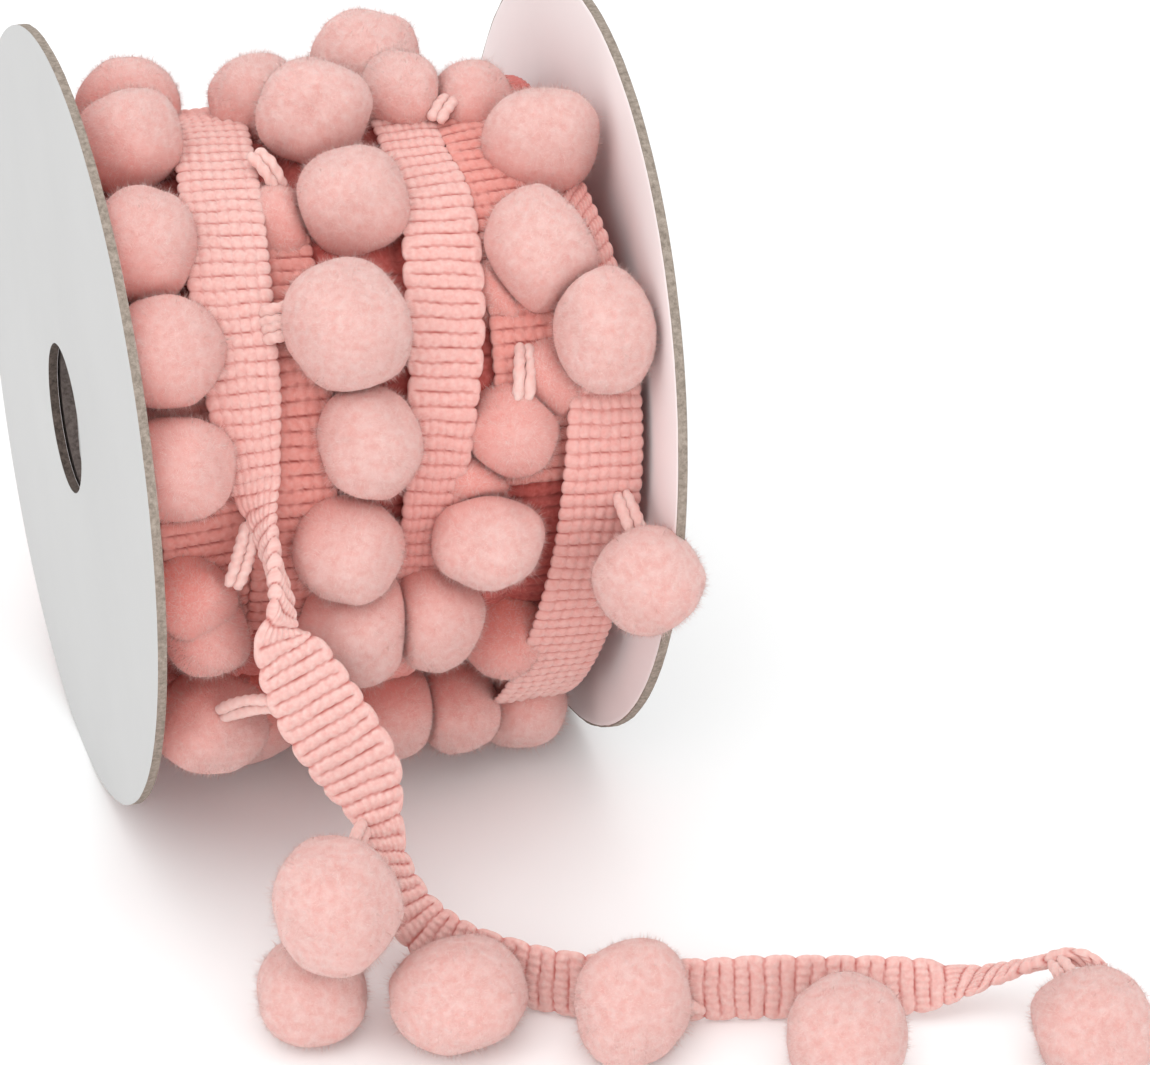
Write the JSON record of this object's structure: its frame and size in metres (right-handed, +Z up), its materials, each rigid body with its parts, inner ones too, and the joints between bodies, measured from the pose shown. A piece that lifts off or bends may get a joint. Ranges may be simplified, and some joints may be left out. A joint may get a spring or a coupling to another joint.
{
  "type": "pompom fringe trim wound on a flanged cardboard reel",
  "caption": "Woven tape with soft yarn pompoms along one edge, wound on a flanged cardboard reel, its loose end hanging off the front and lying on the surface.",
  "frame": {"origin": "bottom centre of the whole object's box, on the surface that the reel and the loose end rest on", "axes": "+Z up; +X along the reel's axis, from its left flange to its right one; +Y from the loose end in front towards the back of the reel"},
  "size_m": [0.1004, 0.1426, 0.0899],
  "materials": {
    "covered_board": "smooth white paper over board",
    "raw_board": "raw grey board",
    "pink_yarn": "soft matt yarn and woven tape"
  },
  "bodies": {
    "root": {"flange_left": "covered_board", "flange_right": "covered_board", "core_tube": "raw_board", "wound_trim": "pink_yarn", "loose_end": "pink_yarn"}
  },
  "joints": []
}
